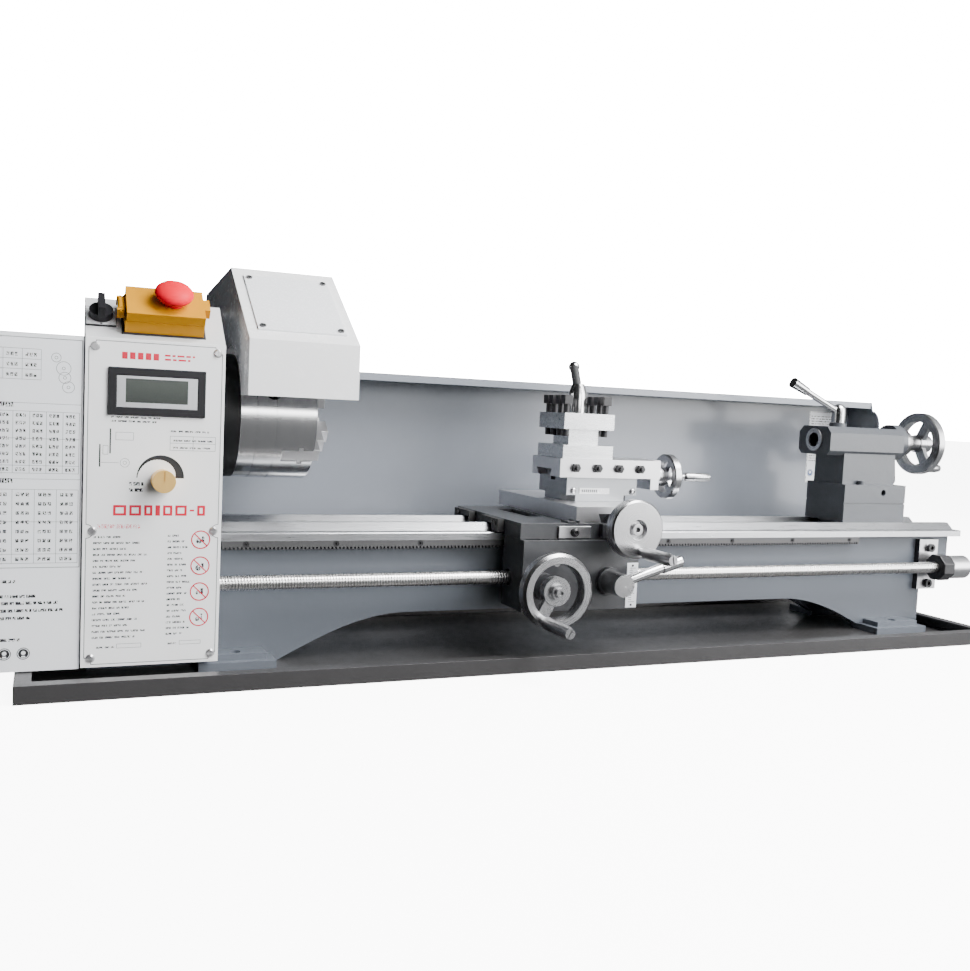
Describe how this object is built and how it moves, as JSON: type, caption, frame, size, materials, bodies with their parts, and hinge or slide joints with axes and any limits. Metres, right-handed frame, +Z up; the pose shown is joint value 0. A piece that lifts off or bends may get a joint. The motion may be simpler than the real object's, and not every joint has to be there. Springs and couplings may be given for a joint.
{
  "type": "metal lathe",
  "caption": "Bench-top screw-cutting lathe with a geared lead screw, scroll chuck, carriage with compound slides, tailstock, chuck guard, chip tray and backsplash.",
  "frame": {"origin": "middle of the underside of the chip tray", "axes": "+X along the bed from the headstock to the tailstock, -Y toward the operator, +Z up"},
  "size_m": [1.252, 0.356, 0.395],
  "materials": {
    "tray_paint": "satin dark grey paint",
    "splash_paint": "glossy blue-grey paint",
    "bed_casting": "satin blue-grey paint with ground ways",
    "cut_steel": "milled steel, light oil",
    "black_oxide": "black oxide",
    "grey_casting": "grey painted casting",
    "head_casting": "satin blue-grey paint",
    "light_paint": "satin light grey paint",
    "panel_print": null,
    "bright_screw": "plated",
    "black_plastic": "moulded",
    "circuit_board": "solder mask",
    "yellow_plastic": "moulded",
    "bearing_steel": "ground",
    "motor_black": "semi-gloss black",
    "belt_rubber": "ribbed",
    "turned_steel": "turned",
    "pulley_metal": "turned",
    "gear_steel": "hobbed, dark",
    "chuck_steel": "turned and polished",
    "jaw_steel": "hardened and ground",
    "white_paint": "glossy white powder coat",
    "window_plate": "translucent plate",
    "cover_print": null,
    "red_plastic": "moulded",
    "brass_knob": "turned and polished",
    "screw_steel": "rolled thread",
    "carriage_casting": "dark grey paint",
    "wiper_rubber": "moulded",
    "wheel_chrome": "polished",
    "nut_bronze": "machined bronze",
    "ground_steel": "ground",
    "ground_grey": "milled cast iron",
    "post_steel": "ground and nickel plated",
    "tail_casting": "blue-grey paint",
    "quill_steel": "ground"
  },
  "bodies": {
    "frame": {"chip_tray": "tray_paint", "backsplash": "splash_paint", "bed": "bed_casting", "rack": "cut_steel", "rack_screws": "black_oxide", "leadscrew_bracket_right": "grey_casting", "leadscrew_bracket_left": "grey_casting", "headstock": "head_casting", "control_box": "light_paint", "panel_plate": "panel_print", "panel_screws": "bright_screw", "display": "black_plastic", "speed_board": "circuit_board", "estop_base": "yellow_plastic", "spindle_bearings": "bearing_steel", "motor": "motor_black", "guard_bracket": "black_oxide", "gear_banjo": "black_oxide", "drive_belt": "belt_rubber"},
    "spindle": {"spindle": "turned_steel", "spindle_pulley": "pulley_metal", "spindle_gear": "gear_steel", "chuck_backplate": "chuck_steel", "chuck_body": "chuck_steel"},
    "scroll": {"chuck_scroll": "gear_steel"},
    "jaw_1": {"chuck_jaw_1": "jaw_steel"},
    "jaw_2": {"chuck_jaw_2": "jaw_steel"},
    "jaw_3": {"chuck_jaw_3": "jaw_steel"},
    "guard": {"guard_hood": "white_paint", "guard_window": "window_plate"},
    "end_cover": {"gear_cover": "cover_print"},
    "estop_lid": {"estop_cover": "yellow_plastic"},
    "estop_button": {"estop_button": "red_plastic"},
    "selector": {"selector_knob": "black_plastic"},
    "speed_dial": {"speed_knob": "brass_knob"},
    "leadscrew": {"leadscrew": "screw_steel"},
    "idler_a": {"idler_gear_a": "gear_steel"},
    "idler_b": {"idler_gear_b": "gear_steel"},
    "rotor": {"motor_rotor": "pulley_metal"},
    "carriage": {"saddle": "carriage_casting", "saddle_wipers": "wiper_rubber", "apron": "carriage_casting"},
    "carriage_handwheel": {"carriage_wheel": "wheel_chrome"},
    "pinion": {"pinion_shaft": "gear_steel"},
    "half_nut_handle": {"half_nut_lever": "wheel_chrome"},
    "half_nut_top": {"half_nut_upper": "nut_bronze"},
    "half_nut_bottom": {"half_nut_lower": "nut_bronze"},
    "cross": {"cross_slide": "ground_steel"},
    "cross_handwheel": {"cross_wheel": "wheel_chrome"},
    "compound": {"compound_base": "ground_grey"},
    "top": {"top_slide": "ground_steel", "gib_screws": "black_oxide"},
    "top_handwheel": {"compound_wheel": "wheel_chrome"},
    "turret": {"tool_post": "post_steel", "tool_bolts": "black_oxide"},
    "turret_lever": {"tool_post_lever": "wheel_chrome"},
    "tailstock": {"tailstock": "tail_casting"},
    "quill": {"quill": "quill_steel"},
    "tail_handwheel": {"tail_wheel": "wheel_chrome"},
    "lock_lever": {"quill_lock_lever": "wheel_chrome"}
  },
  "joints": [
    {"name": "spindle_spin", "type": "hinge", "parent": "frame", "child": "spindle", "pos_m": [-0.45, 0, 0.245], "axis": [1, 0, 0], "continuous": true},
    {"name": "scroll_turn", "type": "hinge", "parent": "spindle", "child": "scroll", "pos_m": [-0.33, 0, 0.245], "axis": [1, 0, 0], "range_deg": [-315, 900]},
    {"name": "jaw_1_slide", "type": "slide", "parent": "spindle", "child": "jaw_1", "axis": [0, -0.7986, -0.6018], "range_m": [-0.0071, 0.0201]},
    {"name": "jaw_2_slide", "type": "slide", "parent": "spindle", "child": "jaw_2", "axis": [0, 0.9205, -0.3907], "range_m": [-0.0071, 0.0201]},
    {"name": "jaw_3_slide", "type": "slide", "parent": "spindle", "child": "jaw_3", "axis": [0, -0.1219, 0.9925], "range_m": [-0.0071, 0.0201]},
    {"name": "motor_spin", "type": "hinge", "parent": "frame", "child": "rotor", "pos_m": [-0.45, 0, 0.075], "axis": [1, 0, 0], "continuous": true},
    {"name": "idler_a_spin", "type": "hinge", "parent": "frame", "child": "idler_a", "pos_m": [-0.523, -0.01915, 0.18288], "axis": [1, 0, 0], "continuous": true},
    {"name": "idler_b_spin", "type": "hinge", "parent": "frame", "child": "idler_b", "pos_m": [-0.523, -0.06072, 0.13292], "axis": [1, 0, 0], "continuous": true},
    {"name": "leadscrew_spin", "type": "hinge", "parent": "frame", "child": "leadscrew", "pos_m": [0, -0.078, 0.086], "axis": [1, 0, 0], "continuous": true},
    {"name": "guard_hinge", "type": "hinge", "parent": "frame", "child": "guard", "pos_m": [-0.39, 0.096, 0.352], "axis": [-1, 0, 0], "range_deg": [0, 80]},
    {"name": "end_cover_slide", "type": "slide", "parent": "frame", "child": "end_cover", "axis": [-1, 0, 0], "range_m": [0, 0.13]},
    {"name": "estop_lid_hinge", "type": "hinge", "parent": "frame", "child": "estop_lid", "pos_m": [-0.4785, -0.09421, 0.34039], "axis": [0, -0.758, -0.6522], "range_deg": [0, 90]},
    {"name": "estop_push", "type": "slide", "parent": "estop_lid", "child": "estop_button", "axis": [0, 0.6522, -0.758], "range_m": [0, 0.0035], "stiffness_N_per_m": 300, "springref_m": -0.002},
    {"name": "selector_turn", "type": "hinge", "parent": "frame", "child": "selector", "pos_m": [-0.494, -0.08378, 0.32826], "axis": [0, -0.6522, 0.758], "range_deg": [-45, 45]},
    {"name": "speed_turn", "type": "hinge", "parent": "frame", "child": "speed_dial", "pos_m": [-0.441, -0.11, 0.186], "axis": [0, -1, 0], "range_deg": [0, 270]},
    {"name": "carriage_slide", "type": "slide", "parent": "frame", "child": "carriage", "axis": [1, 0, 0], "range_m": [-0.19, 0.1]},
    {"name": "pinion_turn", "type": "hinge", "parent": "carriage", "child": "pinion", "pos_m": [-0.0422, -0.08, 0.1075], "axis": [0, -1, 0], "range_deg": [-1250, 660]},
    {"name": "carriage_wheel_turn", "type": "hinge", "parent": "carriage", "child": "carriage_handwheel", "pos_m": [-0.058, -0.14, 0.082], "axis": [0, -1, 0], "range_deg": [-1810, 3430]},
    {"name": "half_nut_turn", "type": "hinge", "parent": "carriage", "child": "half_nut_handle", "pos_m": [0.02, -0.13, 0.086], "axis": [0, 1, 0], "range_deg": [0, 32]},
    {"name": "half_nut_upper_slide", "type": "slide", "parent": "carriage", "child": "half_nut_top", "axis": [0, 0, -1], "range_m": [0, 0.0049]},
    {"name": "half_nut_lower_slide", "type": "slide", "parent": "carriage", "child": "half_nut_bottom", "axis": [0, 0, 1], "range_m": [0, 0.0049]},
    {"name": "cross_slide_move", "type": "slide", "parent": "carriage", "child": "cross", "axis": [0, 1, 0], "range_m": [-0.03, 0.026]},
    {"name": "cross_wheel_turn", "type": "hinge", "parent": "carriage", "child": "cross_handwheel", "pos_m": [0.029, -0.143, 0.146], "axis": [0, -1, 0], "range_deg": [-4690, 5410]},
    {"name": "compound_swivel", "type": "hinge", "parent": "cross", "child": "compound", "pos_m": [0.04, -0.01, 0.165], "axis": [0, 0, 1], "range_deg": [-45, 20]},
    {"name": "top_slide_move", "type": "slide", "parent": "compound", "child": "top", "axis": [1, 0, 0], "range_m": [-0.026, 0.04]},
    {"name": "top_wheel_turn", "type": "hinge", "parent": "top", "child": "top_handwheel", "pos_m": [0.15, -0.01, 0.193], "axis": [1, 0, 0], "range_deg": [-7210, 4690]},
    {"name": "tool_post_turn", "type": "hinge", "parent": "top", "child": "turret", "pos_m": [0.026, -0.013, 0.213], "axis": [0, 0, 1], "continuous": true},
    {"name": "tool_lever_turn", "type": "hinge", "parent": "top", "child": "turret_lever", "pos_m": [0.026, -0.013, 0.264], "axis": [0, 0, 1], "range_deg": [-60, 60]},
    {"name": "tailstock_slide", "type": "slide", "parent": "frame", "child": "tailstock", "axis": [1, 0, 0], "range_m": [-0.05, 0.06]},
    {"name": "quill_slide", "type": "slide", "parent": "tailstock", "child": "quill", "axis": [-1, 0, 0], "range_m": [0, 0.055]},
    {"name": "tail_wheel_turn", "type": "hinge", "parent": "tailstock", "child": "tail_handwheel", "pos_m": [0.56, 0, 0.245], "axis": [-1, 0, 0], "range_deg": [-10, 9910]},
    {"name": "quill_lock_turn", "type": "hinge", "parent": "tailstock", "child": "lock_lever", "pos_m": [0.423, 0, 0.27], "axis": [0, 0, 1], "range_deg": [-40, 40]}
  ],
  "couplings": [
    {"joint": "jaw_1_slide", "follows": "scroll_turn", "m_per_rad": 0.001273},
    {"joint": "jaw_2_slide", "follows": "scroll_turn", "m_per_rad": 0.001273},
    {"joint": "jaw_3_slide", "follows": "scroll_turn", "m_per_rad": 0.001273},
    {"joint": "motor_spin", "follows": "spindle_spin", "ratio": 2.3196},
    {"joint": "idler_a_spin", "follows": "spindle_spin", "ratio": -0.85714},
    {"joint": "idler_b_spin", "follows": "spindle_spin", "ratio": 1},
    {"joint": "leadscrew_spin", "follows": "spindle_spin", "ratio": -1.5},
    {"joint": "pinion_turn", "follows": "carriage_slide", "rad_per_m": 114.29},
    {"joint": "carriage_wheel_turn", "follows": "carriage_slide", "rad_per_m": -314.29},
    {"joint": "half_nut_upper_slide", "follows": "half_nut_turn", "m_per_rad": 0.008584},
    {"joint": "half_nut_lower_slide", "follows": "half_nut_turn", "m_per_rad": 0.008584},
    {"joint": "cross_wheel_turn", "follows": "cross_slide_move", "rad_per_m": -3141.6},
    {"joint": "top_wheel_turn", "follows": "top_slide_move", "rad_per_m": -3141.6},
    {"joint": "tail_wheel_turn", "follows": "quill_slide", "rad_per_m": 3141.6}
  ]
}
